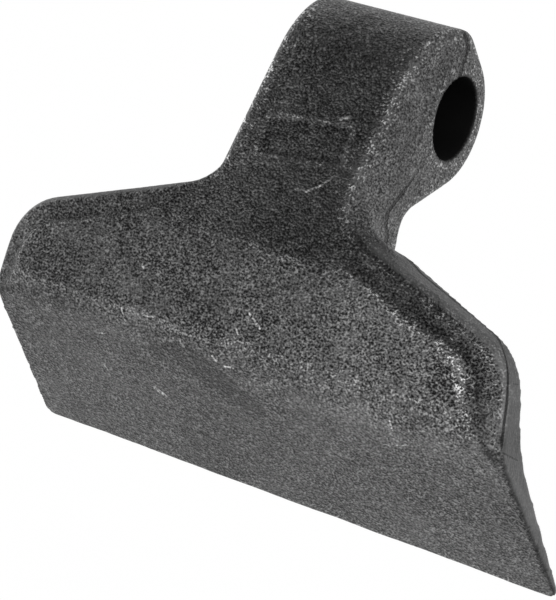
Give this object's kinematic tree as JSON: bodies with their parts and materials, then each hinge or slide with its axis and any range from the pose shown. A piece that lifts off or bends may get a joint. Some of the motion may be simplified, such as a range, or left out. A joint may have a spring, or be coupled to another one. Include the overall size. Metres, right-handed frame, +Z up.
{
  "type": "mulcher hammer blade",
  "caption": "One-piece forged steel hammer blade of a mulcher rotor: a bored eye, a leaning neck and a wide, bent blade that tapers to a straight cutting edge.",
  "frame": {"origin": "centre of the pivot bore, midway between the eye's two end faces", "axes": "+X along the bore; +Z up through the eye, with the cutting edge straight below the bore; the blade's bulging face looks to -Y and its hollow side to +Y"},
  "size_m": [0.1494, 0.0612, 0.1224],
  "materials": {
    "forged_steel": "as-forged steel, dark grey scale with a fine grain and bright worn specks on its outer edges"
  },
  "bodies": {
    "root": {"hammer_blade": "forged_steel"}
  },
  "joints": []
}
